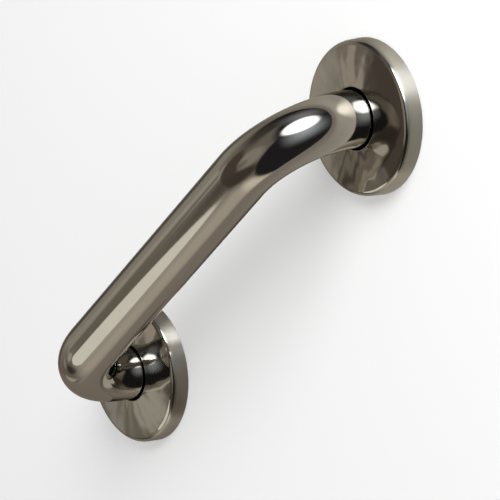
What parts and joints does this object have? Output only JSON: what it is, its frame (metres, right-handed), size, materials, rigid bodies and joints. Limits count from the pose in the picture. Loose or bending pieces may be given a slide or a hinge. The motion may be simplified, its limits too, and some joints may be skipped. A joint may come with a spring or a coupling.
{
  "type": "grab rail",
  "caption": "Straight grab rail of bent round tube with a round press-on cover over each screwed base flange.",
  "frame": {"origin": "on the wall, midway between the two legs, at the centre of the screw pattern", "axes": "+Z out of the wall, X along the rail, Y across it"},
  "size_m": [0.364, 0.086, 0.1001],
  "materials": {
    "mirror_steel": "mirror-polished stainless steel",
    "cover_steel": "mirror-polished face, fine satin skirt, stainless steel",
    "satin_steel": "satin, lightly brushed stainless steel",
    "weld_steel": "rippled, slightly heat-tinted weld",
    "screw_steel": "bright rolled stainless steel"
  },
  "bodies": {
    "rail": {"rail_tube": "mirror_steel", "left_base_flange": "satin_steel", "right_base_flange": "satin_steel", "left_weld": "weld_steel", "right_weld": "weld_steel", "left_fixing_screws": "screw_steel", "right_fixing_screws": "screw_steel"},
    "left_cover": {"left_cover_plate": "cover_steel"},
    "right_cover": {"right_cover_plate": "cover_steel"}
  },
  "joints": [
    {"name": "left_cover_slide", "type": "slide", "parent": "rail", "child": "left_cover", "axis": [0, 0, 1], "range_m": [0, 0.0105]},
    {"name": "right_cover_slide", "type": "slide", "parent": "rail", "child": "right_cover", "axis": [0, 0, 1], "range_m": [0, 0.0105]}
  ]
}
